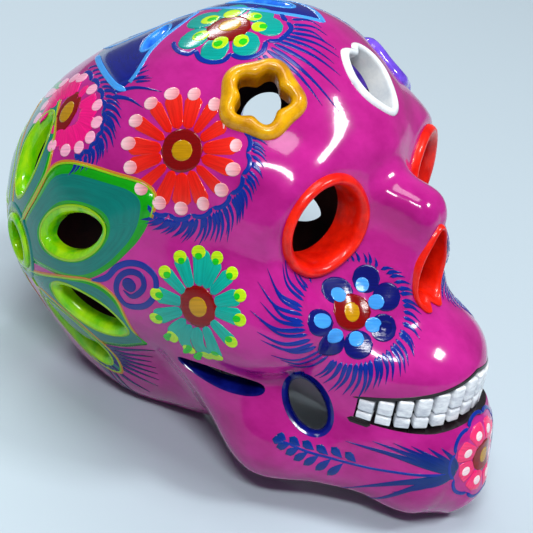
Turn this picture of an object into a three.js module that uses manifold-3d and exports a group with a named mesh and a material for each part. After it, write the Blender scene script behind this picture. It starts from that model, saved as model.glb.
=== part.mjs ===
// Hollow pierced clay skull with a fixed jaw, put together the way a potter does it:
// two press-moulded shells and a lower jaw are luted edge to edge, coils of clay make
// the rims of the openings, and pressed pellets make the teeth.
// Millimetres, +Z up, face towards -Y, the skull's own right side towards -X.

import * as THREE from 'three';
import * as BufferGeometryUtils from 'three/addons/utils/BufferGeometryUtils.js';
import Module from 'manifold-3d';

const wasm = await Module();
wasm.setup();

// Overall sizes of the fired clay.
const SKULL_LENGTH = 187.5;
const SKULL_WIDTH = 116.5;
const SKULL_HEIGHT = 138.5;
const WALL = 5;
const SEAT_GAP = 0.3;
const OVERRUN = 14;

// Rims: width of the coil, how far it stands proud, and how deep it goes into the wall.
const EYE_OPENING_WIDTH = 24;
const EYE_OPENING_HEIGHT = 25;
const EYE_RIM_WIDTH = 4;
const EYE_RIM_PROUD = 2.6;
const EYE_RIM_DEPTH = 8;
const NOSE_OPENING_WIDTH = 14.5;
const NOSE_OPENING_HEIGHT = 23.5;
const NOSE_RIM_WIDTH = 1.9;
const NOSE_RIM_PROUD = 1.4;
const NOSE_RIM_DEPTH = 8;
const HEART_OPENING_WIDTH = 15.5;
const HEART_OPENING_HEIGHT = 20;
const HEART_RIM_WIDTH = 2.8;
const HEART_RIM_PROUD = 1.2;
const HEART_RIM_DEPTH = 7;
const FLOWER_OPENING_WIDTH = 17;
const FLOWER_RIM_WIDTH = 5;
const FLOWER_RIM_PROUD = 2.6;
const FLOWER_RIM_DEPTH = 7;
const OCCIPUT_OPENING_WIDTH = 13;
const OCCIPUT_RIM_WIDTH = 3;
const OCCIPUT_RIM_PROUD = 1;
const OCCIPUT_RIM_DEPTH = 7;

// Plain cuts through the wall, with the width of their sloping edge.
const LEAF_LENGTH = 25;
const LEAF_WIDTH = 11.5;
const LEAF_EDGE = 2.8;
const RIGHT_LEAF_DISTANCE = 35;
const LEFT_LEAF_DISTANCE = 36;
const DROP_LENGTH = 11;
const DROP_WIDTH = 5;
const DROP_EDGE = 2;
const DROP_DISTANCE = 20;
const CREST_LENGTH = 20;
const CREST_WIDTH = 6;
const CREST_DISTANCE = 27;
const CHEEK_LENGTH = 17;
const CHEEK_WIDTH = 9.5;
const CHEEK_EDGE = 2.6;
const SLIT_LENGTH = 27;
const SLIT_WIDTH = 5.5;
const SLIT_EDGE = 1;

// Mouth: the teeth, and the groove that they stand in.
const UPPER_TOOTH_HEIGHT = 7.8;
const LOWER_TOOTH_HEIGHT = 4.8;
const TOOTH_THICKNESS = 3.6;
const TOOTH_GAP = 0.5;
const GROOVE_DEPTH = 3;
const GUM_MARGIN = 0.9;
const MOUTH_HALF_ANGLE = 78;
const TEETH_PER_ROW = 14;

// Swellings of the clay, each with its centre and half sizes as shares of the skull's
// width, length and height. Ridges run between two points. A melt is how softly a
// swelling runs into the rest, as a share of the length, as a ridge's radii are.
const clayShares = [
  { name: 'braincase', at: [0, 0.1109, 0.4715], half: [0.5004, 0.3723, 0.413], melt: 0.0053, pitch: -26 },
  { name: 'forehead', at: [0, 0, 0.6794], half: [0.3897, 0.2341, 0.322], melt: 0.0848, pitch: 0 },
  { name: 'skull base', at: [0, 0.1045, 0.1141], half: [0.2807, 0.2085, 0.1632], melt: 0.1067, pitch: 0 },
  {
    name: 'brow', from: [0, -0.1862, 0.7863], to: [0.2403, -0.1387, 0.7726],
    radii: [0.0373, 0.0373], melt: 0.0539,
  },
  {
    name: 'socket side', from: [0.3262, -0.1014, 0.7365], to: [0.3519, -0.1115, 0.5487],
    radii: [0.0373, 0.0427], melt: 0.064,
  },
  {
    name: 'socket floor', at: [0.2318, -0.1707, 0.6498], half: [0.1545, 0.0693, 0.1444],
    melt: 0.0539, pitch: 0,
  },
  {
    name: 'nose bridge', from: [0, -0.2027, 0.7083], to: [0, -0.304, 0.6931],
    radii: [0.0373, 0.0267], melt: 0.032,
  },
  { name: 'nose', at: [0, -0.24, 0.5704], half: [0.1631, 0.0949, 0.1588], melt: 0.0427, pitch: 0 },
  {
    name: 'nose side', from: [0.0343, -0.3008, 0.6679], to: [0.097, -0.3062, 0.5054],
    radii: [0.032, 0.032], melt: 0.0427,
  },
  {
    name: 'cheekbone', at: [0.2489, -0.1862, 0.4693], half: [0.1373, 0.0848, 0.1083],
    melt: 0.064, pitch: 0,
  },
  { name: 'arch', at: [0.3176, -0.096, 0.4332], half: [0.1648, 0.1808, 0.1408], melt: 0.0587, pitch: 0 },
  { name: 'upper jaw', at: [0, -0.2811, 0.3588], half: [0.2601, 0.1915, 0.1314], melt: 0.0613, pitch: 0 },
  { name: 'lower jaw', at: [0, -0.3094, 0.2224], half: [0.2369, 0.2027, 0.13], melt: 0.0539, pitch: 0 },
  {
    name: 'chin', from: [0, -0.4454, 0.1112], to: [0.0858, -0.4278, 0.1242],
    radii: [0.0837, 0.0661], melt: 0.0427,
  },
  {
    name: 'jaw body', from: [0.0858, -0.4144, 0.1329], to: [0.2833, -0.2198, 0.1473],
    radii: [0.0677, 0.0619], melt: 0.0539,
  },
  {
    name: 'jaw branch', from: [0.2833, -0.2198, 0.1473], to: [0.3305, -0.0848, 0.296],
    radii: [0.0565, 0.0453], melt: 0.0587,
  },
  { name: 'throat', at: [0, -0.1387, 0.2094], half: [0.3047, 0.2235, 0.1783], melt: 0.096, pitch: 0 },
];
const socketShares = {
  at: [0.2833, -0.3195, 0.6635], half: [0.206, 0.1285, 0.1726],
  melt: 0.032, pitch: 0,
};
const coreShares = [0, -0.0795, 0.4332];

// The arch that the teeth stand on, seen from above, its bite line, the opening under the
// jaw and the seam between the two shells lie in the clay, so they are shares of its width,
// length and height too.
const archShares = { halfWidth: 0.2446, reach: 0.1627, centre: -0.3093, bite: 0.3213, drop: 0.036 };
const underJawShares = { halfWidth: 0.1974, reach: 0.2080, centre: -0.1653, rise: 0.145 };
const shellSeamShare = 0.0373;

const MAGENTA = 0xc42a9a;
const RED = 0xe8240c;
const WHITE = 0xeef2f2;
const MUSTARD = 0xd9a50a;
const VIOLET = 0x6a3fc0;
const LIME = 0x9ccc10;

// How finely the clay is faceted, and how far its points crowd towards the face.
const OUTER_DETAIL = 11;
const INNER_DETAIL = 6;
const CROWDING_SHARE = 0.25;

function sized(shares) {
  return new THREE.Vector3(shares[0] * SKULL_WIDTH, shares[1] * SKULL_LENGTH, shares[2] * SKULL_HEIGHT);
}

function swelling(shares) {
  const pitch = THREE.MathUtils.degToRad(shares.pitch);
  return {
    centre: sized(shares.at),
    half: sized(shares.half),
    melt: shares.melt * SKULL_LENGTH,
    cos: Math.cos(pitch),
    sin: Math.sin(pitch),
  };
}

function ridge(shares) {
  return {
    from: sized(shares.from),
    to: sized(shares.to),
    radii: shares.radii.map((share) => share * SKULL_LENGTH),
    melt: shares.melt * SKULL_LENGTH,
  };
}

const lumps = clayShares.map((shares) => (shares.at ? swelling(shares) : ridge(shares)));
const socket = swelling(socketShares);
const core = sized(coreShares);

// Distance to an ellipsoid, near enough close to its surface.
function swellingDistance(p, lump) {
  const dy = p.y - lump.centre.y;
  const dz = p.z - lump.centre.z;
  const q = new THREE.Vector3(
    (p.x - lump.centre.x) / lump.half.x,
    (dy * lump.cos + dz * lump.sin) / lump.half.y,
    (dz * lump.cos - dy * lump.sin) / lump.half.z,
  );
  const reach = Math.max(q.length(), Number.EPSILON);
  const steepness = Math.max(q.clone().divide(lump.half).length(), Number.EPSILON);
  return (reach * (reach - 1)) / steepness;
}

function ridgeDistance(p, lump) {
  const run = lump.to.clone().sub(lump.from);
  const along = THREE.MathUtils.clamp(p.clone().sub(lump.from).dot(run) / run.lengthSq(), 0, 1);
  const radius = THREE.MathUtils.lerp(lump.radii[0], lump.radii[1], along);
  return p.distanceTo(lump.from.clone().addScaledVector(run, along)) - radius;
}

function meltTogether(a, b, melt) {
  const overlap = Math.max(melt - Math.abs(a - b), 0) / melt;
  return Math.min(a, b) - (overlap * overlap * melt) / 4;
}

// Signed distance to the outside of the clay body, below zero inside it.
function clayDistance(point) {
  const p = new THREE.Vector3(Math.abs(point.x), point.y, point.z);
  let distance = swellingDistance(p, lumps[0]);
  for (const lump of lumps.slice(1)) {
    const next = lump.half ? swellingDistance(p, lump) : ridgeDistance(p, lump);
    distance = meltTogether(distance, next, lump.melt);
  }
  return -meltTogether(-distance, swellingDistance(p, socket), socket.melt);
}

// Outermost place along a ray from the core where the clay is as deep as the inset.
function castOut(direction, inset) {
  const stride = SKULL_LENGTH / 100;
  const place = (reach) => core.clone().addScaledVector(direction, reach);
  let reach = SKULL_LENGTH;
  while (clayDistance(place(reach)) + inset > 0) reach -= stride;
  let low = reach;
  let high = reach + stride;
  for (let i = 0; i < 14; i += 1) {
    const middle = (low + high) / 2;
    if (clayDistance(place(middle)) + inset > 0) high = middle;
    else low = middle;
  }
  return place(low);
}

function clayNormal(point, reach) {
  const slope = (axis) => {
    const step = new THREE.Vector3().setComponent(axis, reach);
    return clayDistance(point.clone().add(step)) - clayDistance(point.clone().sub(step));
  };
  return new THREE.Vector3(slope(0), slope(1), slope(2)).normalize();
}

function solidOf(geometry) {
  const bare = geometry.clone();
  bare.deleteAttribute('normal');
  bare.deleteAttribute('uv');
  const merged = BufferGeometryUtils.mergeVertices(bare);
  return new wasm.Manifold(new wasm.Mesh({
    numProp: 3,
    vertProperties: new Float32Array(merged.attributes.position.array),
    triVerts: new Uint32Array(merged.index.array),
  }));
}

function geometryOf(solid) {
  const mesh = solid.getMesh();
  const geometry = new THREE.BufferGeometry();
  geometry.setAttribute('position', new THREE.BufferAttribute(mesh.vertProperties, mesh.numProp));
  geometry.setIndex(new THREE.BufferAttribute(mesh.triVerts, 1));
  geometry.computeVertexNormals();
  return geometry;
}

// Surface of the clay at one depth, as a ball whose points are pushed out to it.
function clayBall(inset, detail) {
  const ball = new THREE.IcosahedronGeometry(1, detail);
  ball.deleteAttribute('normal');
  ball.deleteAttribute('uv');
  const merged = BufferGeometryUtils.mergeVertices(ball);
  const position = merged.attributes.position;
  for (let i = 0; i < position.count; i += 1) {
    const direction = new THREE.Vector3().fromBufferAttribute(position, i).normalize();
    direction.y -= CROWDING_SHARE;
    const point = castOut(direction.normalize(), inset);
    position.setXYZ(i, point.x, point.y, point.z);
  }
  return merged;
}

function facingOut(geometry) {
  const position = geometry.attributes.position;
  const index = geometry.index;
  const corner = (i) => new THREE.Vector3().fromBufferAttribute(position, index.getX(i));
  let volume = 0;
  for (let i = 0; i < index.count; i += 3) volume += corner(i).dot(corner(i + 1).cross(corner(i + 2)));
  if (volume < 0) {
    for (let i = 0; i < index.count; i += 3) {
      const kept = index.getX(i);
      index.setX(i, index.getX(i + 1));
      index.setX(i + 1, kept);
    }
  }
  return geometry;
}

// Closed body through a row of rings with equal counts: a loop of rings, or capped ends.
function loft(rings, isLoop) {
  const count = rings[0].length;
  const points = rings.flat();
  const faces = [];
  const spans = isLoop ? rings.length : rings.length - 1;
  for (let ring = 0; ring < spans; ring += 1) {
    const here = ring * count;
    const there = ((ring + 1) % rings.length) * count;
    for (let i = 0; i < count; i += 1) {
      const next = (i + 1) % count;
      faces.push(here + i, here + next, there + next, here + i, there + next, there + i);
    }
  }
  if (!isLoop) {
    const last = (rings.length - 1) * count;
    const middles = [rings[0], rings[rings.length - 1]].map((ring) => ring
      .reduce((sum, point) => sum.add(point), new THREE.Vector3()).divideScalar(count));
    for (let i = 0; i < count; i += 1) {
      const next = (i + 1) % count;
      faces.push(points.length, next, i, points.length + 1, last + i, last + next);
    }
    points.push(...middles);
  }
  const geometry = new THREE.BufferGeometry().setFromPoints(points);
  geometry.setIndex(faces);
  return facingOut(geometry);
}

// Outlines run anticlockwise about their own middle, in real sizes.
function polarOutline(count, radius) {
  return Array.from({ length: count }, (_, i) => {
    const angle = (2 * Math.PI * i) / count;
    return new THREE.Vector2(Math.cos(angle), Math.sin(angle)).multiplyScalar(radius(angle));
  });
}

function fitted(points, width, height) {
  const box = new THREE.Box2().setFromPoints(points);
  const size = box.getSize(new THREE.Vector2());
  const middle = box.getCenter(new THREE.Vector2());
  return points.map((point) => new THREE.Vector2(
    ((point.x - middle.x) / size.x) * width,
    ((point.y - middle.y) / size.y) * height,
  ));
}

function ellipseOutline(width, height, count) {
  return fitted(polarOutline(count, () => 1), width, height);
}

// A heart with a soft notch at the top and a drawn-out tip below.
function heartOutline(width, height, count) {
  const bump = (angle, at, spread) => Math.exp(-(((angle - at) / spread) ** 2));
  return fitted(polarOutline(count, (angle) => {
    const off = Math.abs(THREE.MathUtils.euclideanModulo(angle - Math.PI / 2 + Math.PI, 2 * Math.PI) - Math.PI);
    return 1 - 0.3 * bump(off, 0, 0.36) + 0.32 * bump(off, Math.PI, 0.5);
  }), width, height);
}

function flowerOutline(across, lobes, depth, count) {
  const points = polarOutline(count, (angle) => 1 + depth * Math.cos(lobes * angle));
  return points.map((point) => point.multiplyScalar(across / 2 / (1 + depth)));
}

// A leaf or drop lying along the first axis, pointed at its far end.
function leafOutline(length, width, nearSharpness, farSharpness, count) {
  return Array.from({ length: count }, (_, i) => {
    const angle = (2 * Math.PI * i) / count;
    const sharpness = THREE.MathUtils.lerp(nearSharpness, farSharpness, (1 + Math.cos(angle)) / 2);
    const half = Math.sin(angle) * Math.abs(Math.sin(angle)) ** sharpness;
    return new THREE.Vector2(Math.cos(angle) * (length / 2), half * (width / 2));
  });
}

function grown(points, distance) {
  return points.map((point, i) => {
    const before = points[(i + points.length - 1) % points.length];
    const after = points[(i + 1) % points.length];
    const along = after.clone().sub(before).normalize();
    return new THREE.Vector2(point.x + along.y * distance, point.y - along.x * distance);
  });
}

// Place on the outside of the clay, with its outward direction and two across it. On the
// crown, up is towards the face.
function placeTowards(target, facingShares) {
  const point = castOut(target.clone().sub(core).normalize(), 0);
  const out = facingShares ? new THREE.Vector3(...facingShares).normalize() : clayNormal(point, WALL);
  const up = new THREE.Vector3(0, 0, 1).addScaledVector(out, -out.z).normalize();
  return { point, out, up, across: up.clone().cross(out) };
}

function turned(place, degrees) {
  const angle = THREE.MathUtils.degToRad(degrees);
  return place.across.clone().multiplyScalar(Math.cos(angle)).addScaledVector(place.up, Math.sin(angle));
}

// A seat turns a feature's own length, width and height into a point on the skull. Side is
// -1 for the skull's own right and 1 for its left, which mirrors the feature.
function seatOn(place, first, side) {
  const second = place.out.clone().cross(first);
  return (x, y, height) => {
    const spot = place.point.clone();
    spot.addScaledVector(first, x).addScaledVector(second, y).addScaledVector(place.out, height);
    spot.x *= -side;
    return spot;
  };
}

function seatAt({ aimShares, facingShares, turn = 0, side = -1 }) {
  const place = placeTowards(sized(aimShares), facingShares);
  return seatOn(place, turned(place, turn), side);
}

// Seat of one petal: a distance away from the middle of a flower, and pointing away from it.
function petalSeat({ aimShares, distance, turn, side = -1 }) {
  const middle = placeTowards(sized(aimShares));
  const place = placeTowards(middle.point.clone().addScaledVector(turned(middle, turn), distance));
  const away = place.point.clone().sub(middle.point);
  away.addScaledVector(place.out, -away.dot(place.out)).normalize();
  return seatOn(place, away, side);
}

function ringAt(seat, outline, growth, height) {
  return grown(outline, growth).map((point) => seat(point.x, point.y, height));
}

// Tool that goes right through the wall with the outline grown by the clearance.
function throughTool(seat, outline, growth) {
  return loft([ringAt(seat, outline, growth, -OVERRUN), ringAt(seat, outline, growth, OVERRUN)], false);
}

// Tool for a plain cut whose edge slopes outwards over the outer half of the wall.
function slopedTool(seat, outline, edge) {
  return loft([
    ringAt(seat, outline, 0, -OVERRUN),
    ringAt(seat, outline, 0, -WALL * 0.7),
    ringAt(seat, outline, edge, WALL * 0.1),
    ringAt(seat, outline, edge, OVERRUN),
  ], false);
}

// Rounded coil of clay around an opening, standing proud and reaching through the wall.
function coilRim(seat, outline, width, proud, depth) {
  const section = [
    [0, -depth], [0, proud * 0.2], [width * 0.2, proud * 0.85], [width * 0.5, proud],
    [width * 0.8, proud * 0.85], [width, proud * 0.2], [width, -depth],
  ];
  const rings = section.map(([growth, height]) => ringAt(seat, outline, growth, height));
  return loft(rings, true);
}

const crownShares = [0, 0.2026, 0.9134];

// Each side is cut by hand, so the flower and the wreath of leaves of the left side sit a
// little off the mirror image of the right ones. Turns are in degrees.
const handCuts = [
  {
    side: -1,
    hand: 'right',
    flowerShares: [-0.2635, -0.0758, 0.883],
    flowerColour: MUSTARD,
    occiputShares: [-0.4172, 0.3104, 0.3538],
    occiputColour: LIME,
    leafDistance: RIGHT_LEAF_DISTANCE,
    leafTurns: [-58, -16, 36, 105, 150, 195, 235],
  },
  {
    side: 1,
    hand: 'left',
    flowerShares: [-0.3176, -0.0758, 0.8375],
    flowerColour: VIOLET,
    occiputShares: [-0.4292, 0.2763, 0.3538],
    occiputColour: VIOLET,
    leafDistance: LEFT_LEAF_DISTANCE,
    leafTurns: [-55, -5, 68, 114, 155, 198, 240],
  },
];

const rims = [
  {
    name: 'nose_rim',
    colour: RED,
    seat: seatAt({ aimShares: [0, -0.3414, 0.5791], facingShares: [0, -1, -0.06], turn: 180 }),
    outline: heartOutline(NOSE_OPENING_WIDTH, NOSE_OPENING_HEIGHT, 24),
    width: NOSE_RIM_WIDTH,
    proud: NOSE_RIM_PROUD,
    depth: NOSE_RIM_DEPTH,
  },
  {
    name: 'heart_rim',
    colour: WHITE,
    seat: seatAt({ aimShares: [0.0378, -0.1574, 0.9025] }),
    outline: heartOutline(HEART_OPENING_WIDTH, HEART_OPENING_HEIGHT, 24),
    width: HEART_RIM_WIDTH,
    proud: HEART_RIM_PROUD,
    depth: HEART_RIM_DEPTH,
  },
];
for (const { side, hand, flowerShares, flowerColour, occiputShares, occiputColour } of handCuts) {
  rims.push({
    name: `eye_rim_${hand}`,
    colour: RED,
    seat: seatAt({ aimShares: [-0.2369, -0.207, 0.6787], facingShares: [-0.38, -0.9, 0.14], side }),
    outline: ellipseOutline(EYE_OPENING_WIDTH, EYE_OPENING_HEIGHT, 24),
    width: EYE_RIM_WIDTH,
    proud: EYE_RIM_PROUD,
    depth: EYE_RIM_DEPTH,
  });
  rims.push({
    name: `flower_rim_${hand}`,
    colour: flowerColour,
    seat: seatAt({ aimShares: flowerShares, turn: 8, side }),
    outline: flowerOutline(FLOWER_OPENING_WIDTH, 5, 0.16, 30),
    width: FLOWER_RIM_WIDTH,
    proud: FLOWER_RIM_PROUD,
    depth: FLOWER_RIM_DEPTH,
  });
  rims.push({
    name: `occiput_rim_${hand}`,
    colour: occiputColour,
    seat: seatAt({ aimShares: occiputShares, side }),
    outline: ellipseOutline(OCCIPUT_OPENING_WIDTH, OCCIPUT_OPENING_WIDTH, 20),
    width: OCCIPUT_RIM_WIDTH,
    proud: OCCIPUT_RIM_PROUD,
    depth: OCCIPUT_RIM_DEPTH,
  });
}

// Cuts: leaves radiating from each occiput hole, which leave its flat underside free, a
// cheek hole and a slit on each side, and the petals of a flower on the crown.
const dropTurns = [0, 180, 270];
const crestTurn = 97;
const leaf = leafOutline(LEAF_LENGTH, LEAF_WIDTH, 0.3, 0.3, 14);
const drop = leafOutline(DROP_LENGTH, DROP_WIDTH, 0.7, 0, 12);
const crest = leafOutline(CREST_LENGTH, CREST_WIDTH, 0.4, 0.4, 12);
const cheekHole = leafOutline(CHEEK_LENGTH, CHEEK_WIDTH, 0, 0, 14);
const slitHole = leafOutline(SLIT_LENGTH, SLIT_WIDTH, 0.1, 0.1, 12);
const cuts = [{
  seat: petalSeat({ aimShares: crownShares, distance: CREST_DISTANCE, turn: crestTurn }),
  outline: crest,
  edge: DROP_EDGE,
}];
for (const turn of dropTurns) {
  const seat = petalSeat({ aimShares: crownShares, distance: DROP_DISTANCE, turn });
  cuts.push({ seat, outline: drop, edge: DROP_EDGE });
}
for (const { side, occiputShares, leafDistance, leafTurns } of handCuts) {
  for (const turn of leafTurns) {
    const seat = petalSeat({ aimShares: occiputShares, distance: leafDistance, turn, side });
    cuts.push({ seat, outline: leaf, edge: LEAF_EDGE });
  }
  const cheekSeat = seatAt({ aimShares: [-0.2918, -0.2731, 0.2708], turn: -50, side });
  cuts.push({ seat: cheekSeat, outline: cheekHole, edge: CHEEK_EDGE });
  const slitSeat = seatAt({ aimShares: [-0.4172, -0.1451, 0.2801], turn: -4, side });
  cuts.push({ seat: slitSeat, outline: slitHole, edge: SLIT_EDGE });
}

// The mouth. Angles are measured from the middle of the face, in radians.
function archPoint(angle, inset) {
  const x = Math.sin(angle) * (archShares.halfWidth * SKULL_WIDTH - inset);
  const reach = archShares.reach * SKULL_LENGTH - inset;
  const y = archShares.centre * SKULL_LENGTH - Math.cos(angle) * reach;
  const rise = archShares.bite - archShares.drop * Math.abs(Math.sin(angle));
  return new THREE.Vector3(x, y, rise * SKULL_HEIGHT);
}

// Teeth shrink towards the corners of the mouth.
function toothHeight(fullHeight, angle) {
  return fullHeight * (0.3 + 0.7 * Math.cos(angle));
}

function stationAngle(station) {
  const half = THREE.MathUtils.degToRad(MOUTH_HALF_ANGLE);
  return -half + (2 * half * station) / TEETH_PER_ROW;
}

function grooveTool() {
  const rings = [];
  for (let station = 0; station <= TEETH_PER_ROW; station += 1) {
    const angle = stationAngle(station);
    const top = toothHeight(UPPER_TOOTH_HEIGHT, angle) + GUM_MARGIN;
    const bottom = toothHeight(LOWER_TOOTH_HEIGHT, angle) + GUM_MARGIN;
    const corner = (inset, rise) => archPoint(angle, inset).add(new THREE.Vector3(0, 0, rise));
    rings.push([
      corner(GROOVE_DEPTH, -bottom), corner(GROOVE_DEPTH, top),
      corner(-OVERRUN, top), corner(-OVERRUN, -bottom),
    ]);
  }
  return loft(rings, false);
}

function pillow(width, thickness, height) {
  const ball = new THREE.SphereGeometry(1, 8, 6);
  const position = ball.attributes.position;
  const square = (value) => Math.sign(value) * Math.abs(value) ** 0.6;
  for (let i = 0; i < position.count; i += 1) {
    position.setXYZ(
      i,
      square(position.getX(i)) * (width / 2),
      square(position.getZ(i)) * (thickness / 2),
      square(position.getY(i)) * (height / 2),
    );
  }
  ball.deleteAttribute('normal');
  ball.deleteAttribute('uv');
  return facingOut(BufferGeometryUtils.mergeVertices(ball));
}

// A tooth stands on the floor of the groove between two stations, above or below the bite.
function tooth(index, fullHeight, sign) {
  const before = archPoint(stationAngle(index), GROOVE_DEPTH);
  const after = archPoint(stationAngle(index + 1), GROOVE_DEPTH);
  const angle = (stationAngle(index) + stationAngle(index + 1)) / 2;
  const height = toothHeight(fullHeight, angle) - TOOTH_GAP / 2;
  const width = Math.hypot(after.x - before.x, after.y - before.y) - TOOTH_GAP;
  const along = new THREE.Vector3(after.x - before.x, after.y - before.y, 0).normalize();
  const outward = new THREE.Vector3(along.y, -along.x, 0);
  const middle = before.add(after).divideScalar(2);
  middle.addScaledVector(outward, SEAT_GAP + TOOTH_THICKNESS / 2);
  middle.z += sign * (TOOTH_GAP / 2 + height / 2);
  return {
    geometry: pillow(width, TOOTH_THICKNESS, height),
    position: middle,
    turn: Math.atan2(along.y, along.x),
  };
}

// Side view of the seam between face and jaw, from the front of the bite back to the
// notch behind the jaw, as shares of length and height.
const jawSeamShares = [
  [-0.4687, 0.3211], [-0.4428, 0.3015], [-0.4056, 0.2897], [-0.3414, 0.2848], [-0.2235, 0.2848],
  [-0.1169, 0.2651], [-0.0828, 0.2455], [-0.0776, 0.1571], [-0.0724, 0],
];

function jawBlock(raise) {
  const seam = jawSeamShares.map(([along, up]) => new THREE.Vector2(along * SKULL_LENGTH, up * SKULL_HEIGHT));
  const front = seam[0].x - 2 * OVERRUN;
  const outline = [
    new THREE.Vector2(front, -OVERRUN),
    new THREE.Vector2(front, seam[0].y + raise),
    ...seam.map((point) => new THREE.Vector2(point.x + raise, point.y + raise)),
    new THREE.Vector2(seam[seam.length - 1].x + raise, -OVERRUN),
  ];
  const block = new THREE.ExtrudeGeometry(new THREE.Shape(outline), { depth: SKULL_WIDTH, bevelEnabled: false });
  block.translate(0, 0, -SKULL_WIDTH / 2);
  block.rotateX(Math.PI / 2);
  block.rotateZ(Math.PI / 2);
  return solidOf(block);
}

function boxBetween(low, high) {
  const size = high.clone().sub(low);
  const box = new THREE.BoxGeometry(size.x, size.y, size.z);
  const middle = low.clone().add(high).divideScalar(2);
  return solidOf(box.translate(middle.x, middle.y, middle.z));
}

function underJawTool() {
  const shape = new THREE.Shape();
  const middle = underJawShares.centre * SKULL_LENGTH;
  const halfWidth = underJawShares.halfWidth * SKULL_WIDTH;
  shape.absellipse(0, middle, halfWidth, underJawShares.reach * SKULL_LENGTH, 0, 2 * Math.PI);
  const depth = underJawShares.rise * SKULL_HEIGHT + OVERRUN;
  const plug = new THREE.ExtrudeGeometry(shape, { depth, bevelEnabled: false, curveSegments: 12 });
  return solidOf(plug.translate(0, 0, -OVERRUN));
}

// The whole wall of clay, pierced and cut flat underneath, before it is parted.
function piercedWall() {
  let wall = solidOf(clayBall(0, OUTER_DETAIL)).subtract(solidOf(clayBall(WALL, INNER_DETAIL)));
  const far = new THREE.Vector3(SKULL_WIDTH, SKULL_LENGTH, SKULL_HEIGHT * 2);
  wall = wall.intersect(boxBetween(new THREE.Vector3(-far.x, -far.y, 0), far));
  for (const rim of rims) wall = wall.subtract(solidOf(throughTool(rim.seat, rim.outline, rim.width + SEAT_GAP)));
  for (const cut of cuts) wall = wall.subtract(solidOf(slopedTool(cut.seat, cut.outline, cut.edge)));
  return wall.subtract(underJawTool()).subtract(solidOf(grooveTool()));
}

function partedShells() {
  const wall = piercedWall();
  const far = new THREE.Vector3(SKULL_WIDTH, SKULL_LENGTH, SKULL_HEIGHT * 2);
  const seam = shellSeamShare * SKULL_LENGTH;
  const frontHalf = boxBetween(
    new THREE.Vector3(-far.x, -far.y, -far.z),
    new THREE.Vector3(far.x, seam - SEAT_GAP / 2, far.z),
  );
  const backHalf = boxBetween(
    new THREE.Vector3(-far.x, seam + SEAT_GAP / 2, -far.z),
    new THREE.Vector3(far.x, far.y, far.z),
  );
  return {
    back_shell: wall.intersect(backHalf),
    face_shell: wall.intersect(frontHalf).subtract(jawBlock(SEAT_GAP)),
    lower_jaw: wall.intersect(jawBlock(0)),
  };
}

function glazedMesh(name, geometry, colour) {
  const material = new THREE.MeshStandardMaterial({ color: colour, roughness: 0.12, metalness: 0 });
  const mesh = new THREE.Mesh(geometry, material);
  mesh.name = name;
  return mesh;
}

function build() {
  const pieces = new THREE.Group();
  for (const [name, solid] of Object.entries(partedShells())) {
    pieces.add(glazedMesh(name, geometryOf(solid), MAGENTA));
  }
  for (const rim of rims) {
    pieces.add(glazedMesh(rim.name, coilRim(rim.seat, rim.outline, rim.width, rim.proud, rim.depth), rim.colour));
  }
  for (const [row, height, sign] of [['upper', UPPER_TOOTH_HEIGHT, 1], ['lower', LOWER_TOOTH_HEIGHT, -1]]) {
    for (let index = 0; index < TEETH_PER_ROW; index += 1) {
      const { geometry, position, turn } = tooth(index, height, sign);
      const mesh = glazedMesh(`${row}_tooth_${String(index + 1).padStart(2, '0')}`, geometry, WHITE);
      mesh.position.copy(position);
      mesh.rotation.z = turn;
      pieces.add(mesh);
    }
  }
  const box = new THREE.Box3().setFromObject(pieces);
  const middle = box.getCenter(new THREE.Vector3());
  pieces.position.set(-middle.x, -middle.y, -box.min.z);
  const skull = new THREE.Group();
  skull.add(pieces);
  return skull;
}

export default build();
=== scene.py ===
import math

import bpy
import numpy as np
from mathutils import Matrix


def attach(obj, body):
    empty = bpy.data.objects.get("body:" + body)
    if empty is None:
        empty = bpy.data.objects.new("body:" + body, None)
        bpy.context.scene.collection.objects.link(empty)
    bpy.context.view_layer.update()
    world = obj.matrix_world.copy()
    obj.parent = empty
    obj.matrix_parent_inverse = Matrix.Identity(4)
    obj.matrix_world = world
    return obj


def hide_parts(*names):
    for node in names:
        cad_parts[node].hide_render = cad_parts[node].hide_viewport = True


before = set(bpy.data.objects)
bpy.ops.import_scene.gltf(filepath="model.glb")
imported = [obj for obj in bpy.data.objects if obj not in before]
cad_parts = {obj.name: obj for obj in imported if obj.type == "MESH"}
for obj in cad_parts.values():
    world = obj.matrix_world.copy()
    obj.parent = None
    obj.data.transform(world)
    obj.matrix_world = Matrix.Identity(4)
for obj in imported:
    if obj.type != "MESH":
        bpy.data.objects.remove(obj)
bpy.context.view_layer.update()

bpy.ops.object.select_all(action="DESELECT")


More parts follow.
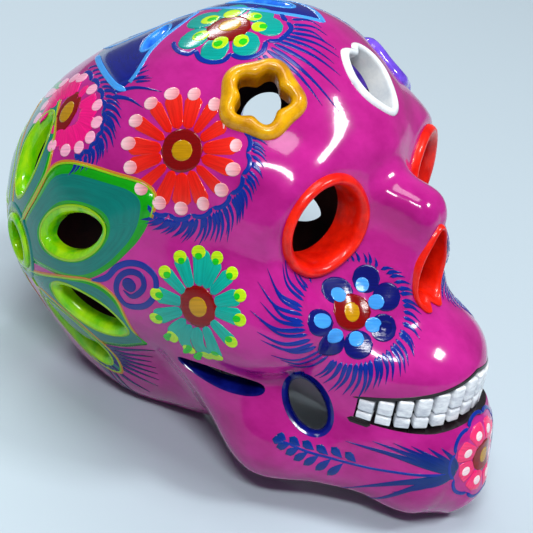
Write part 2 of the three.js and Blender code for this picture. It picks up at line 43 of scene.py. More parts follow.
# The clay
# A hollow skull of low-fired clay, its walls 5 mm thick, pressed in moulds and luted
# together. Each swelling of the face runs softly into the next, and the hand-smoothed
# wall is never quite even, which breaks up what it reflects.
WALL = 0.005
CORE = np.array((0, -0.0097, 0.0600))
CLEAR_OF_CLAY = 0.2
SWELLINGS = [
    # middle, half sizes, melt, pitch in degrees, or two ends, their radii, melt
    ((0, 0.0260, 0.0653), (0.0583, 0.0698, 0.0572), 0.0010, -26),
    ((0, 0.0052, 0.0941), (0.0454, 0.0439, 0.0446), 0.0159, 0),
    ((0, 0.0248, 0.0158), (0.0327, 0.0391, 0.0226), 0.0200, 0),
    ((0, -0.0297, 0.1089), (0.0280, -0.0208, 0.1070), 0.0070, 0.0070, 0.0101),
    ((0.0380, -0.0138, 0.1020), (0.0410, -0.0157, 0.0760), 0.0070, 0.0080, 0.0120),
    ((0.0270, -0.0268, 0.0900), (0.0180, 0.0130, 0.0200), 0.0101, 0),
    ((0, -0.0328, 0.0981), (0, -0.0518, 0.0960), 0.0070, 0.0050, 0.0060),
    ((0, -0.0398, 0.0790), (0.0190, 0.0178, 0.0220), 0.0080, 0),
    ((0.0040, -0.0512, 0.0925), (0.0113, -0.0522, 0.0700), 0.0060, 0.0060, 0.0080),
    ((0.0290, -0.0297, 0.0650), (0.0160, 0.0159, 0.0150), 0.0120, 0),
    ((0.0370, -0.0128, 0.0600), (0.0192, 0.0339, 0.0195), 0.0110, 0),
    ((0, -0.0475, 0.0497), (0.0303, 0.0359, 0.0182), 0.0115, 0),
    ((0, -0.0528, 0.0308), (0.0276, 0.0380, 0.0180), 0.0101, 0),
    ((0, -0.0783, 0.0154), (0.0100, -0.0750, 0.0172), 0.0157, 0.0124, 0.0080),
    ((0.0100, -0.0725, 0.0184), (0.0330, -0.0360, 0.0204), 0.0127, 0.0116, 0.0101),
    ((0.0330, -0.0360, 0.0204), (0.0385, -0.0107, 0.0410), 0.0106, 0.0085, 0.0110),
    ((0, -0.0208, 0.0290), (0.0355, 0.0419, 0.0247), 0.0180, 0),
]
SOCKET = ((0.0330, -0.0547, 0.0919), (0.0240, 0.0241, 0.0239), 0.0060, 0)
UNEVENNESS, NEAR_ENOUGH = 0.00016, 2e-6


def swelling_distance(p, middle, half, pitch):
    cos, sin = math.cos(math.radians(pitch)), math.sin(math.radians(pitch))
    x, y, z = (p - middle).T
    q = np.stack([x, y * cos + z * sin, z * cos - y * sin], 1) / half
    reach = np.linalg.norm(q, axis=1) + 1e-9
    return reach * (reach - 1) / (np.linalg.norm(q / half, axis=1) + 1e-9)


def ridge_distance(p, start, end, first_radius, last_radius):
    run = np.subtract(end, start)
    along = np.clip((p - start) @ run / (run @ run), 0, 1)
    away = np.linalg.norm(p - start - along[:, None] * run, axis=1)
    return away - first_radius - (last_radius - first_radius) * along


def melt_together(a, b, melt):
    return np.minimum(a, b) - np.maximum(melt - abs(a - b), 0) ** 2 / (4 * melt)


def clay_distance(points):
    """How far points are from the outside of the clay, less than zero inside it."""
    p = np.array(points, float)
    wave = np.sin(p[:, 0] * 190 + 2 * np.sin(p[:, 2] * 90)) * np.sin(p[:, 1] * 160 + p[:, 2] * 70 + 1)
    wave += 0.6 * np.sin(p[:, 2] * 310 + p[:, 0] * 120) * np.sin(p[:, 1] * 290 + 2)
    p[:, 0] = abs(p[:, 0])
    out = np.full(len(p), 1.0)
    for lump in SWELLINGS:
        if len(lump) == 4:
            middle, half, melt, pitch = lump
            out = melt_together(out, swelling_distance(p, middle, half, pitch), melt)
        else:
            start, end, first_radius, last_radius, melt = lump
            out = melt_together(out, ridge_distance(p, start, end, first_radius, last_radius), melt)
    middle, half, melt, pitch = SOCKET
    return UNEVENNESS * wave - melt_together(-out, swelling_distance(p, middle, half, pitch), melt)


def first_meeting(starts, directions, inset=0.0):
    """Where rays from outside first meet the clay, or the face of its wall at an inset."""
    # the steps stay short, because the distance to melted lumps is only nearly true
    places = np.array(starts, float)
    going = np.arange(len(places))
    for _ in range(80):
        left = clay_distance(places[going]) + inset
        places[going] += directions[going] * 0.75 * np.clip(left, -0.01, 0.05)[:, None]
        going = going[abs(left) > NEAR_ENOUGH]
        if not len(going):
            break
    return places


def outward(points):
    """The directions that point squarely out of the clay."""
    slope = [clay_distance(points + step) - clay_distance(points - step) for step in np.eye(3) * 0.0006]
    return np.transpose(slope / np.linalg.norm(slope, axis=0))


def clay_ball(name, subdivisions, inset):
    """The skull's outside, or the face of its wall at an inset, with most of its points in front."""
    bpy.ops.mesh.primitive_ico_sphere_add(subdivisions=subdivisions, radius=1)
    ball = bpy.context.object
    ball.name = name
    aim = np.empty(len(ball.data.vertices) * 3)
    ball.data.vertices.foreach_get("co", aim)
    aim = aim.reshape(-1, 3) - (0, 0.25, 0)
    aim /= np.linalg.norm(aim, axis=1)[:, None]
    ball.data.vertices.foreach_set("co", first_meeting(CORE + aim * CLEAR_OF_CLAY, -aim, inset).ravel())
    ball.data.update()
    return ball


def srgb(red, green, blue):
    """A colour as the eye reads it from 0 to 255, for a shader."""
    shares = [value / 255 for value in (red, green, blue)]
    return [share / 12.92 if share < 0.04045 else ((share + 0.055) / 1.055) ** 2.4 for share in shares] + [1]


def wire(start, output, end, socket):
    start.id_data.links.new(start.outputs[output], end.inputs[socket])


def lacquer(name, colour, deep, streak, roughness=0.16, bump=0.25, coat=0.6, coat_roughness=0.04):
    """Gloss paint laid on by brush over uneven clay: two tones in streaks, and a hard clear coat."""
    material = bpy.data.materials.new(name)
    material.use_nodes = True
    nodes = material.node_tree.nodes
    shader = nodes["Principled BSDF"]
    shader.inputs["Roughness"].default_value = roughness
    shader.inputs["Specular IOR Level"].default_value = 0.2
    shader.inputs["Coat Weight"].default_value = coat
    shader.inputs["Coat Roughness"].default_value = coat_roughness
    shader.inputs["Coat IOR"].default_value = 1.42
    place = nodes.new("ShaderNodeTexCoord")
    stretch = nodes.new("ShaderNodeMapping")
    stretch.inputs["Scale"].default_value = streak
    wire(place, "Object", stretch, "Vector")
    strokes = nodes.new("ShaderNodeTexNoise")
    strokes.inputs["Scale"].default_value = 1
    strokes.inputs["Detail"].default_value = 5
    strokes.inputs["Roughness"].default_value = 0.6
    wire(stretch, "Vector", strokes, "Vector")
    tones = nodes.new("ShaderNodeValToRGB")
    tones.color_ramp.elements[0].position = 0.34
    tones.color_ramp.elements[0].color = srgb(*deep)
    tones.color_ramp.elements[1].position = 0.62
    tones.color_ramp.elements[1].color = srgb(*colour)
    wire(strokes, "Fac", tones, "Fac")
    wire(tones, "Color", shader, "Base Color")
    brush_marks = nodes.new("ShaderNodeBump")
    brush_marks.inputs["Strength"].default_value = bump
    brush_marks.inputs["Distance"].default_value = 0.0004
    wire(strokes, "Fac", brush_marks, "Height")
    wire(brush_marks, "Normal", shader, "Normal")
    wire(brush_marks, "Normal", shader, "Coat Normal")
    return material


magenta = lacquer("magenta_lacquer", (190, 34, 140), (160, 16, 116), (55, 40, 70))
# the inside of the wall, and the walls cut at the floor and under the jaw, take the clay's own dark brown
# darkened to near black: painted shade of the hollow
inside_clay_in_painted_shade = lacquer("inside_painted_shade", (50, 10, 8), (28, 3, 3), (120, 120, 120), 0.6, 0.5, 0)
lime = lacquer("lime_lacquer", (172, 224, 6), (74, 190, 6), (150, 150, 60))
sky = lacquer("sky_lacquer", (60, 150, 245), (20, 90, 215), (200, 200, 60))
navy = lacquer("navy_lacquer", (16, 26, 128), (4, 8, 84), (120, 120, 60))
black = lacquer("black_lacquer", (34, 24, 28), (16, 10, 14), (150, 150, 150))
violet = lacquer("violet_lacquer", (120, 84, 225), (84, 48, 180), (160, 160, 160))
red = lacquer("red_lacquer", (246, 34, 8), (206, 12, 2), (160, 160, 160), 0.35, 0.6, 0.4, 0.1)
white = lacquer("white_lacquer", (238, 242, 244), (206, 214, 222), (120, 120, 120), 0.25, 0.5)
mustard = lacquer("mustard_lacquer", (228, 168, 2), (180, 118, 0), (160, 160, 160), 0.3, 0.6,
                  0.5, 0.07)
CLAY_PAINTS = [magenta, inside_clay_in_painted_shade, lime, sky, navy, black, violet, red, white, mustard]


def give_paints(body, paint):
    """The clay and its knives carry all the paints, in one order, and each is in one of them."""
    for each in CLAY_PAINTS:
        body.data.materials.append(each)
    faces = body.data.polygons
    faces.foreach_set("material_index", np.full(len(faces), CLAY_PAINTS.index(paint)))


clay = clay_ball("clay_skull", 7, 0)
give_paints(clay, magenta)
# the face of the wall inside the hollow takes the dark brown with painted shade
hollow = clay_ball("hollow", 6, WALL)
give_paints(hollow, inside_clay_in_painted_shade)


# The openings
# While the clay is leather-hard the openings are cut with a fettling knife: eyes, nose,
# heart and two small flowers in front, a wreath of leaves round the hole on each side of
# the back, petals on the crown, and a round hole and a slit in each cheek.
FURTHEST_FALL, KNIFE_HEIGHT = 0.006, 0.03
LEAF_POINTS, HEART_POINTS, OVAL_POINTS, FLOWER_POINTS = 64, 96, 96, 100


def seat_on(spot, facing=None, turn=0):
    """A place on the clay: its middle, then its own length, width and outward directions."""
    aim = np.subtract(spot, CORE)
    aim = aim / np.linalg.norm(aim)
    middle = first_meeting(CORE + aim[None] * CLEAR_OF_CLAY, -aim[None])
    out = outward(middle)[0] if facing is None else np.array(facing) / np.linalg.norm(facing)
    up = np.array((0, 0, 1)) - out[2] * out
    up /= np.linalg.norm(up)
    across = np.cross(up, out)
    first = across * math.cos(math.radians(turn)) + up * math.sin(math.radians(turn))
    return middle[0], first, np.cross(out, first), out


def petal_seat(spot, distance, turn):
    """The seat of a petal that points away from the middle of its flower."""
    middle, away, _, _ = seat_on(spot, turn=turn)
    place, _, _, out = seat_on(middle + away * distance)
    away = place - middle
    away -= out * (away @ out)
    away /= np.linalg.norm(away)
    return place, away, np.cross(out, away), out


def mirrored(seat, side):
    """The same seat on the skull's own right, side -1, or on its left, side 1."""
    return tuple(v * (-side, 1, 1) for v in seat)


def on_seat(seat, outline, height=0.0, follow=1.0):
    """An outline laid on the clay at its seat and lifted along it, or kept more or less flat."""
    middle, first, second, out = seat
    flat = middle + outline[:, :1] * first + outline[:, 1:] * second
    met = first_meeting(flat + out * KNIFE_HEIGHT, np.tile(-out, (len(flat), 1)))
    fall = np.clip((met - flat) @ out, -FURTHEST_FALL, FURTHEST_FALL) * follow
    return flat + (fall[:, None] + height) * out


def round_outline(count, radius):
    """Points about a middle, at the radius that each angle gives."""
    angle = np.arange(count) * 2 * math.pi / count
    return np.stack([np.cos(angle), np.sin(angle)], 1) * np.reshape(radius(angle), (-1, 1))


def leaf_outline(length, width, near, far):
    """A leaf along its own length, blunt or pointed at its near and far end."""
    angle = np.arange(LEAF_POINTS) * 2 * math.pi / LEAF_POINTS
    sharpness = near + (far - near) * (1 + np.cos(angle)) / 2
    across = np.sin(angle) * abs(np.sin(angle)) ** sharpness
    return np.stack([np.cos(angle) * length / 2, across * width / 2], 1)


def grown(outline, distance):
    """An outline moved outwards by a distance."""
    along = np.roll(outline, -1, 0) - np.roll(outline, 1, 0)
    along /= np.linalg.norm(along, axis=1)[:, None]
    return outline + np.stack([along[:, 1], -along[:, 0]], 1) * distance


def fitted(points, width, height):
    low, high = points.min(0), points.max(0)
    return (points - (low + high) / 2) / (high - low) * (width, height)


def heart_outline(width, height, grow):
    """A heart, grown from its middle."""
    def bump(off, at, spread):
        return np.exp(-((off - at) / spread) ** 2)

    # a notch above and a point below, each over a stretch of the turn
    def radius(angle):
        off = abs((angle - math.pi / 2 + math.pi) % (2 * math.pi) - math.pi)
        return 1 - 0.3 * bump(off, 0, 0.36) + 0.32 * bump(off, math.pi, 0.5)

    heart = fitted(round_outline(HEART_POINTS, radius), width, height)
    return heart + heart / np.linalg.norm(heart, axis=1)[:, None] * grow


def select_only(*pieces):
    """Selects these pieces and no others, the first of them active."""
    bpy.ops.object.select_all(action="DESELECT")
    for piece in pieces:
        piece.select_set(True)
    bpy.context.view_layer.objects.active = pieces[0]


def loft(name, rings, paint, closed=False):
    """A painted body through rings of points, closed on itself or with its two ends filled."""
    count = len(rings[0])
    following = (*range(1, count), 0)
    faces = []
    for ring in range(len(rings) if closed else len(rings) - 1):
        here, there = ring * count, (ring + 1) % len(rings) * count
        faces += [(here + i, here + j, there + j, there + i) for i, j in enumerate(following)]
    if not closed:
        faces += [tuple(range(count - 1, -1, -1)), tuple(range((len(rings) - 1) * count, len(rings) * count))]
    mesh = bpy.data.meshes.new(name)
    mesh.from_pydata(np.concatenate(rings).tolist(), [], faces)
    piece = bpy.data.objects.new(name, mesh)
    bpy.context.collection.objects.link(piece)
    select_only(piece)
    bpy.ops.object.mode_set(mode="EDIT")
    bpy.ops.mesh.select_all(action="SELECT")
    bpy.ops.mesh.normals_make_consistent(inside=False)
    bpy.ops.object.mode_set(mode="OBJECT")
    bpy.ops.object.shade_smooth()
    if paint in CLAY_PAINTS:
        give_paints(piece, paint)
    else:
        mesh.materials.append(paint)
    return piece


# the two sides are cut freehand: side, hand, middle of the wreath, how far its leaves stand
# from it, their turns, the small flower, the paint in the leaves
HANDS = [
    (-1, "right", (-0.0486, 0.0634, 0.0490), 0.035, (-58, -16, 36, 105, 150, 195, 235),
     (-0.0307, -0.0090, 0.1223), lime),
    (1, "left", (-0.0500, 0.0570, 0.0490), 0.036, (-55, -5, 68, 114, 155, 198, 240),
     (-0.0370, -0.0090, 0.1160), violet),
]
SIDES = [(side, hand) for side, hand, *_ in HANDS]
# length, width, how sharp the near end and the far end are
LEAF, DROP, CREST = (0.025, 0.0115, 0.3, 0.3), (0.011, 0.005, 0.7, 0), (0.020, 0.006, 0.4, 0.4)
CHEEK_HOLE, SLIT = (0.017, 0.0095, 0, 0), (0.027, 0.0055, 0.1, 0.1)
LEAF_EDGE, CROWN_EDGE, CHEEK_EDGE, SLIT_EDGE = 0.0028, 0.002, 0.0026, 0.001
CROWN, CREST_AWAY, DROP_AWAY = (0, 0.0432, 0.1265), 0.027, 0.020
# seat, shape, width of the sloped edge, its paint
openings = [(petal_seat(CROWN, CREST_AWAY, 97), CREST, CROWN_EDGE, sky)]
openings += [(petal_seat(CROWN, DROP_AWAY, turn), DROP, CROWN_EDGE, sky) for turn in (0, 180, 270)]
crown_openings = openings[:]
cheek_seat = seat_on((-0.0340, -0.0460, 0.0375), turn=-50)
slit_seat = seat_on((-0.0486, -0.0220, 0.0388), turn=-4)
leaf_seats, ring_seats = {}, {}
for side, hand, wreath, distance, turns, _, leaf_paint in HANDS:
    leaf_seats[hand] = [petal_seat(wreath, distance, turn) for turn in turns]
    ring_seats[hand] = seat_on(wreath)
    openings += [(mirrored(seat, side), LEAF, LEAF_EDGE, leaf_paint) for seat in leaf_seats[hand]]
    openings += [(mirrored(cheek_seat, side), CHEEK_HOLE, CHEEK_EDGE, navy)]
    openings += [(mirrored(slit_seat, side), SLIT, SLIT_EDGE, navy)]

NOSE_SEAT = seat_on((0, -0.0588, 0.0802), (0, -1, -0.06), 180)
HEART_SEAT = seat_on((0.0044, -0.0243, 0.1250))
EYE_SEAT = seat_on((-0.0276, -0.0336, 0.0940), (-0.38, -0.9, 0.14))
NOSE, HEART, EYE, RING = (0.0145, 0.0235), (0.0155, 0.020), (0.024, 0.025), (0.013, 0.013)
FLOWER, LOBES, LOBES_FADE, FLOWER_TURN = 0.017, 0.16, 12, 8


def flower_outline(grow):
    """Five lobes, which fade where the outline grows."""
    depth = LOBES - grow * LOBES_FADE

    def radius(angle):
        return (1 + depth * np.cos(5 * angle)) * FLOWER / 2 / (1 + depth) + grow

    return round_outline(FLOWER_POINTS, radius)


def oval_outline(width, height, grow):
    return round_outline(OVAL_POINTS, lambda angle: 1 + 0 * angle) * (width / 2 + grow, height / 2 + grow)


# name, seat, outline of the hole for any growth, width of its coil, stand, depth, paint
rims = [
    ("nose_rim", NOSE_SEAT, lambda grow: heart_outline(*NOSE, grow), 0.0019, 0.0014, 0.008, red),
    ("heart_rim", HEART_SEAT, lambda grow: heart_outline(*HEART, grow), 0.0028, 0.0012, 0.007, white),
]
for side, hand, _, _, _, flower, leaf_paint in HANDS:
    rims += [
        (f"eye_rim_{hand}", mirrored(EYE_SEAT, side), lambda grow: oval_outline(*EYE, grow),
         0.004, 0.0026, 0.008, red),
        (f"flower_rim_{hand}", mirrored(seat_on(flower, turn=FLOWER_TURN), side), flower_outline,
         0.005, 0.0026, 0.007, mustard if side < 0 else violet),
        (f"occiput_rim_{hand}", mirrored(ring_seats[hand], side), lambda grow: oval_outline(*RING, grow),
         0.003, 0.001, 0.007, leaf_paint),
    ]


def cut_away(knives):
    """Takes the shapes of knives out of the clay, and leaves their paint on the walls of the cuts."""
    knife = knives[0]
    select_only(*knives)
    if len(knives) > 1:
        bpy.ops.object.join()
    cut = clay.modifiers.new("cut", "BOOLEAN")
    cut.operation, cut.solver, cut.object = "DIFFERENCE", "MANIFOLD", knife
    select_only(clay)
    bpy.ops.object.modifier_apply(modifier="cut")
    bpy.data.objects.remove(knife)


def level_knife(outline, bottom, top):
    """A knife with an upright wall along an outline."""
    rings = [np.column_stack([outline, np.full(len(outline), z)]) for z in (bottom, top)]
    # its walls take the inside's dark brown with painted shade
    return loft("knife", rings, inside_clay_in_painted_shade)


cut_away([hollow])
KNIFE_INWARD, KNIFE_OUTWARD, COIL_BED = -0.012, 0.01, 0.6
BEVEL_DEPTH = WALL * 0.7
knives = []
for seat, shape, edge, paint in openings:
    outline = leaf_outline(*shape)
    rings = [on_seat(seat, outline, KNIFE_INWARD)]
    for share in np.linspace(0, 0.86, 6):
        slope = share * math.pi / 2
        bevel = grown(outline, edge * (1 - math.cos(slope)))
        rings.append(on_seat(seat, bevel, -BEVEL_DEPTH * (1 - math.sin(slope))))
    rings += [on_seat(seat, grown(outline, edge), height) for height in (0.0003, KNIFE_OUTWARD)]
    knives.append(loft("knife", rings, paint))
for _, seat, outline, width, _, _, paint in rims:
    bed = outline(width * COIL_BED)
    knives.append(loft("knife", [on_seat(seat, bed, height, 0) for height in (KNIFE_INWARD, 0.014)], paint))
slits = [knife for knife, opening in zip(knives, openings) if opening[1] == SLIT]
cut_away([knife for knife in knives if knife not in slits])
cut_away(slits)
FLOOR_REACH, UNDER_JAW, UNDER_JAW_MIDDLE, UNDER_JAW_TOP = 0.3, (0.023, 0.039), (0, -0.0258), 0.0201
square = np.array(((-1, -1), (1, -1), (1, 1), (-1, 1))) * FLOOR_REACH
cut_away([level_knife(square, -FLOOR_REACH, 0)])
under_jaw = round_outline(64, lambda angle: 1 + 0 * angle) * UNDER_JAW + UNDER_JAW_MIDDLE
cut_away([level_knife(under_jaw, -0.02, UNDER_JAW_TOP)])


# The mouth
# A groove is cut round the front of the jaws to hold the teeth, and painted black. With it
# all cuts are made, and the skin between them is smoothed with a wet finger.
ARCH_HALF_WIDTH, ARCH_REACH, ARCH_MIDDLE = 0.0285, 0.0305, -0.0528
BITE_HEIGHT, BITE_DROP = 0.0445, 0.005
UPPER_TOOTH, LOWER_TOOTH, TOOTH_DEPTH, TOOTH_GAP = 0.0078, 0.0048, 0.0036, 0.0005
GROOVE, GUM, HALF_MOUTH = 0.003, 0.0009, math.radians(78)


def arch_point(angle, inset, rise=0.0):
    """A point of the bite at an angle from the middle of the mouth, set into the jaws and raised."""
    x = math.sin(angle) * (ARCH_HALF_WIDTH - inset)
    y = ARCH_MIDDLE - math.cos(angle) * (ARCH_REACH - inset)
    return np.array((x, y, BITE_HEIGHT - BITE_DROP * abs(math.sin(angle)) + rise))


def tooth_height(full, angle):
    return full * (0.3 + 0.7 * math.cos(angle))


# the clay in front of the jaws goes first, then the groove behind it, a hair taller
for paint, near, far, taller in ((magenta, 0, -0.014, 0), (black, GROOVE, -0.0028, 0.00002)):
    rings = []
    for angle in np.linspace(-HALF_MOUTH, HALF_MOUTH, 49):
        top = tooth_height(UPPER_TOOTH, angle) + GUM + taller
        bottom = -tooth_height(LOWER_TOOTH, angle) - GUM - taller
        section = ((near, bottom), (near, top), (far, top), (far, bottom))
        rings.append(np.array([arch_point(angle, inset, rise) for inset, rise in section]))
    cut_away([loft("knife", rings, paint)])

position = np.empty(len(clay.data.vertices) * 3)
clay.data.vertices.foreach_get("co", position)
skin = outward(position.reshape(-1, 3))
select_only(clay)
bpy.ops.object.shade_smooth_by_angle(angle=math.radians(35))
corners = [tuple(corner.vector) for corner in clay.data.corner_normals]
outer_paint = CLAY_PAINTS.index(magenta)
for face in clay.data.polygons:
    if face.material_index == outer_paint:
        for corner in face.loop_indices:
            corners[corner] = tuple(skin[clay.data.loops[corner].vertex_index])
clay.data.normals_split_custom_set(corners)
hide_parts("back_shell", "face_shell", "lower_jaw")
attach(clay, "root")


# The rims
# Coils of clay, rolled by hand, are bedded in the openings of eyes, nose, heart, small flowers
# and wreaths. Each runs from inside the wall out over the edge of its cut, in its own paint.
SECTION = [(1.0, -0.25), (0.93, 0.35), (0.78, 0.72), (0.62, 0.93), (0.46, 1.0), (0.30, 0.93), (0.14, 0.68),
           (0.03, 0.25), (0.0, -0.3)]
for name, seat, outline, width, stand, depth, paint in rims:
    rings = [on_seat(seat, outline(width * out), stand * rise) for out, rise in SECTION]
    rings += [on_seat(seat, outline(0), -depth, 0.6), on_seat(seat, outline(width * COIL_BED), -depth, 0.6)]
    rings += [on_seat(seat, outline(width * 0.8), -depth * 0.4, 0.8)]
    rim = loft(name.replace("rim", "coil"), rings, paint, closed=True)
    bpy.ops.object.shade_smooth_by_angle(angle=math.radians(60))
    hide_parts(name)
    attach(rim, "root")


# The teeth
# Two rows of pressed clay pellets stand in the groove. They are white with thin grey-lilac
# brush marks, and shrink towards the corners of the mouth.
TEETH, TOOTH_STANDS_IN, TOOTH_ROUNDING = 14, 0.0003, 0.16
enamel = lacquer("tooth_white", (244, 247, 250), (198, 202, 212), (200, 200, 620), 0.2)
for row, full, sign in (("upper", UPPER_TOOTH, 1), ("lower", LOWER_TOOTH, -1)):
    stations = np.linspace(-HALF_MOUTH, HALF_MOUTH, TEETH + 1)
    for index in range(TEETH):
        angle = (stations[index] + stations[index + 1]) / 2
        start, end = arch_point(stations[index], GROOVE), arch_point(stations[index + 1], GROOVE)
        along = (end - start) * (1, 1, 0)
        length = np.linalg.norm(along)
        front = np.array((along[1], -along[0], 0)) / length
        width, height = length - TOOTH_GAP, tooth_height(full, angle) - TOOTH_GAP / 2
        place = (start + end) / 2 + front * (TOOTH_STANDS_IN + TOOTH_DEPTH / 2)
        place[2] += sign * (TOOTH_GAP + height) / 2
        heading = math.atan2(along[1], along[0])
        bpy.ops.mesh.primitive_cube_add(size=1, location=place, rotation=(0, 0, heading),
                                        scale=(width, TOOTH_DEPTH, height))
        tooth = bpy.context.object
        tooth.name = f"{row}_pellet_{index + 1:02d}"
        bpy.ops.object.transform_apply(location=True, rotation=True, scale=True)
        soften = tooth.modifiers.new("soften", "BEVEL")
        soften.width, soften.segments = min(width, height) * TOOTH_ROUNDING, 4
        bpy.ops.object.modifier_apply(modifier="soften")
        bpy.ops.object.shade_smooth_by_angle(angle=math.radians(50))
        tooth.data.materials.append(enamel)
        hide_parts(f"{row}_tooth_{index + 1:02d}")
        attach(tooth, "root")


# The painter's brush
# Once the body is lacquered, every motif is painted on it freehand with thick gloss paint.
# A stroke lies on the clay as a thin skin with a rounded face, and later strokes lie over
# earlier ones. The right side's flowers are placed as the photograph shows them.
LOOK_AT = np.array((0, 0.0052, 0.058))
LOOK_BACK = np.array((-0.754, -0.4525, 0.4768))
LOOK_RIGHT = np.array((0.581, -0.798, 0.161))
LOOK_UP = np.cross(LOOK_BACK, LOOK_RIGHT)
LOOK_DISTANCE, CLEAR_VIEW, PIXELS_PER_METRE, LOOK_PIXEL = 0.505, 0.38, 3056, (248.4, 241.9)
SKIN, LAYER, LEAST, BODY_UNDER = 0.00005, 0.000025, 0.00004, 0.0003
TOUCHING, SHORTEST_STEP, BRUSH_HEIGHT, STRETCH, SLACK = 0.00002, 0.0002, 0.02, 0.3, 0.0015


def under_pixels(pixels):
    """Places on the clay under pixels of the photograph, or nearest to their rays."""
    x, y = (np.array(pixels, float) - LOOK_PIXEL).T[:, :, None] / PIXELS_PER_METRE
    rays = LOOK_RIGHT * x - LOOK_UP * y - LOOK_BACK * LOOK_DISTANCE
    rays /= np.linalg.norm(rays, axis=1)[:, None]
    spots = LOOK_AT + LOOK_BACK * LOOK_DISTANCE + rays * CLEAR_VIEW
    nearest, reach = spots.copy(), np.full(len(rays), 1.0)
    for _ in range(48):
        left = clay_distance(spots)
        nearer = left < reach
        nearest[nearer], reach[nearer] = spots[nearer], left[nearer]
        spots = spots + rays * np.maximum(left * 0.8, SHORTEST_STEP * (left > TOUCHING))[:, None]
    return settled(nearest)


def settled(places, steps=3):
    """Places near the clay, brought onto it."""
    for _ in range(steps):
        places = places - outward(places) * clay_distance(places)[:, None]
    return places


def pixel_seat(x, y):
    """A seat at a pixel, whose first two directions are one pixel across and up."""
    spots = under_pixels([(x, y), (x - 5, y), (x + 5, y), (x, y + 5), (x, y - 5)])
    return spots[0], (spots[2] - spots[1]) / 10, (spots[4] - spots[3]) / 10, outward(spots[:1])[0], (x, y)


def laid(seat, flat):
    """Points given across a seat, laid on the clay. Those of a pixel seat lie under their pixels,
    but for the ones that turn out of sight round the skull."""
    middle, first, second, out = seat[:4]
    across = np.array(flat, float)
    flat = middle + across[:, :1] * first + across[:, 1:] * second
    met = first_meeting(flat + out * BRUSH_HEIGHT, np.tile(-out, (len(flat), 1)))
    if len(seat) == 5:
        seen = under_pixels(across * (1, -1) + seat[4])
        near = np.linalg.norm(seen - met, axis=1) < STRETCH * np.linalg.norm(met - middle, axis=1) + SLACK
        met[near] = seen[near]
    return met


def turning(radii, angles, squash=(1, 1)):
    """Points at distances and angles, in degrees, round the middle of a seat."""
    angles = np.radians(angles)
    return np.stack([np.cos(angles) * squash[0], np.sin(angles) * squash[1]], 1) * np.reshape(radii, (-1, 1))


def smooth_line(points, spacing):
    """A soft curve through points, with a point of its own at each spacing."""
    points = np.array(points, float)
    reach = np.append(0, np.cumsum(np.linalg.norm(np.diff(points, axis=0), axis=1)))
    at = np.linspace(0, reach[-1], int(np.clip(reach[-1] / spacing, 5, 90)))
    slope = np.gradient(points, reach, axis=0)
    k = np.clip(np.searchsorted(reach, at, side="right") - 1, 0, len(points) - 2)
    run = (reach[k + 1] - reach[k])[:, None]
    t = (at - reach[k])[:, None] / run
    start, end = points[k], points[k + 1]
    return ((2 * t ** 3 - 3 * t ** 2 + 1) * start + (t ** 3 - 2 * t ** 2 + t) * run * slope[k]
            + (3 * t ** 2 - 2 * t ** 3) * end + (t ** 3 - t ** 2) * run * slope[k + 1])


# how the width of each kind of stroke runs from its start to its end
WIDTHS = {
    "dot": lambda s: np.sqrt(np.clip(1 - (2 * s - 1) ** 2, 0, 1)),
    "petal": lambda s: (0.5 + 0.5 * s) * np.clip(np.minimum(s * 8, (1 - s) * 5), 0, 1) ** 0.5,
    "lash": lambda s: np.clip(s * 7, 0, 1) ** 0.5 * (1 - s) ** 0.75,
    "drop": lambda s: np.clip(np.sin(math.pi * (1 - s) ** 1.5), 0, 1) ** 0.7,
    "line": lambda s: np.clip(np.minimum(s, 1 - s) * 14, 0, 1) ** 0.5,
    "band": lambda s: np.ones(len(s)),
}


def stroke(kind, line, half, colour, end_colour=None, layer=1, spacing=0.0009):
    return kind, smooth_line(line, spacing), half, colour, end_colour or colour, layer


def disc(seat, radii, colour, layer=1, middle=(0, 0), edge_colour=None):
    """A round blob of paint on a seat, drawn as one broad short stroke."""
    line = laid(seat, [(middle[0] - radii[0], middle[1]), middle, (middle[0] + radii[0], middle[1])])
    half = radii[1] * np.linalg.norm(seat[2])
    return stroke("dot", line, half, colour, edge_colour, layer, np.linalg.norm(line[2] - line[0]) / 14)


hand_paint = lacquer("hand_paint", (255, 255, 255), (226, 226, 226), (1, 1, 1), 0.18, 0.12, 0.5)
nodes = hand_paint.node_tree.nodes
colour_of_stroke = nodes.new("ShaderNodeVertexColor")
colour_of_stroke.layer_name = "paint"
bristles = nodes.new("ShaderNodeUVMap")
bristles.uv_map = "bristles"
wire(bristles, "UV", nodes["Mapping"], "Vector")
thinned = nodes.new("ShaderNodeMixRGB")
thinned.blend_type = "MULTIPLY"
thinned.inputs["Fac"].default_value = 1
wire(nodes["Color Ramp"], "Color", thinned, "Color1")
wire(colour_of_stroke, "Color", thinned, "Color2")
wire(thinned, "Color", nodes["Principled BSDF"], "Base Color")
# a stroke's section has nine points across its face, and two under its edges
ACROSS = np.array((-1, -0.85, -0.6, -0.3, 0, 0.3, 0.6, 0.85, 1))
STATION = len(ACROSS) + 2
ROUND_STATION = (*range(len(ACROSS)), STATION - 1, STATION - 2)
MARKS_ALONG, MARKS_ACROSS, SAME_SIDE = 90, 1600, 0.016
hole_outlines = [(seat, outline(width * 0.8)) for _, seat, outline, width, _, _, _ in rims]
hole_outlines += [(seat, grown(leaf_outline(*shape), edge * 0.9)) for seat, shape, edge, _ in openings]


